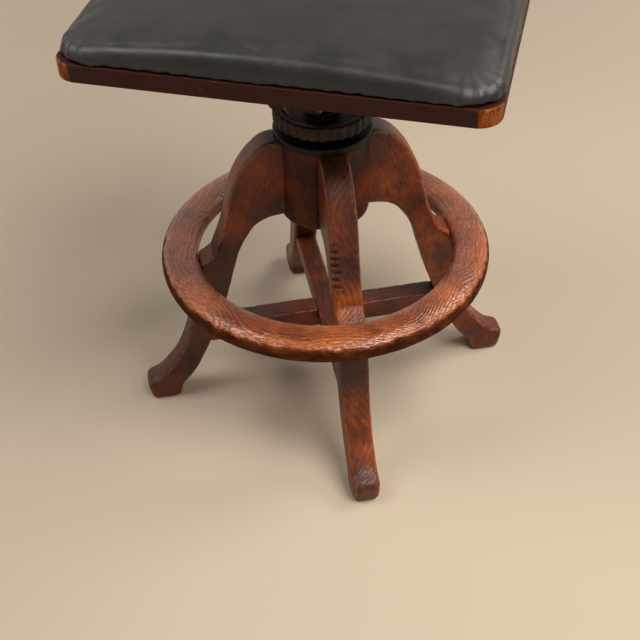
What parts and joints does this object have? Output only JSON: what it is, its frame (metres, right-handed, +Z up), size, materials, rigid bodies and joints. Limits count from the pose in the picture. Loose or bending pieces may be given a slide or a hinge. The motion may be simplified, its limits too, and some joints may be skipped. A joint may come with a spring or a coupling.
{
  "type": "swivel stool",
  "caption": "Swivel stool of stained oak: crossed sawn legs round a hub, a wooden foot ring, crossed stretchers, and a padded square seat on a screw that rises as it turns.",
  "frame": {"origin": "on the floor, under the seat screw's axis, at the middle of the four feet", "axes": "+Z up along the screw; the legs point along -Y, +X, +Y and -X; the seat stands turned, its front edge facing 25 degrees from -Y towards -X"},
  "size_m": [0.5714, 0.5632, 0.6155],
  "materials": {
    "oak": "stained and varnished oak, worn lighter along its edges",
    "dowel_wood": "plain beech dowel",
    "seat_wood": "dark stained oak, satin",
    "board": "raw board",
    "iron": "old cast iron, dark brown, handled smooth",
    "seat_iron": "cast iron, dark brown paint, worn",
    "screw_steel": "greased turned steel, dark",
    "steel": "plain steel, dulled",
    "stuffing": "hair and cotton stuffing",
    "leather": "black leather, soft sheen"
  },
  "bodies": {
    "base": {"leg_front": "oak", "leg_right": "oak", "leg_back": "oak", "leg_left": "oak", "foot_ring_front": "oak", "foot_ring_right": "oak", "foot_ring_back": "oak", "foot_ring_left": "oak", "foot_ring_dowels": "dowel_wood", "foot_ring_screws": "steel", "hub_column": "oak", "hub_dowels": "dowel_wood", "cross_stretcher": "oak", "long_stretcher": "oak", "socket": "iron", "flange_screws": "steel"},
    "nut": {"hand_nut": "iron", "thrust_washer": "steel"},
    "lift": {"stop_washer": "steel"},
    "seat": {"screw": "screw_steel", "stop_pin": "steel", "seat_iron": "seat_iron", "seat_iron_pin": "steel", "seat_iron_screws": "steel", "seat_core": "seat_wood", "seat_edge_left": "seat_wood", "seat_edge_right": "seat_wood", "seat_edge_front": "seat_wood", "seat_edge_back": "seat_wood", "pad_board": "board", "pad_screws": "steel", "seat_stuffing": "stuffing", "seat_leather": "leather"}
  },
  "joints": [
    {"name": "nut_swivel", "type": "hinge", "parent": "base", "child": "nut", "pos_m": [0, 0, 0.41], "axis": [0, 0, 1], "continuous": true},
    {"name": "screw_lift", "type": "slide", "parent": "nut", "child": "lift", "axis": [0, 0, 1], "range_m": [-0.024, 0.096]},
    {"name": "screw_turn", "type": "hinge", "parent": "lift", "child": "seat", "pos_m": [0, 0, 0.41], "axis": [0, 0, 1], "range_deg": [-1080, 4320]}
  ],
  "couplings": [
    {"joint": "screw_lift", "follows": "screw_turn", "m_per_rad": 0.0012732}
  ]
}
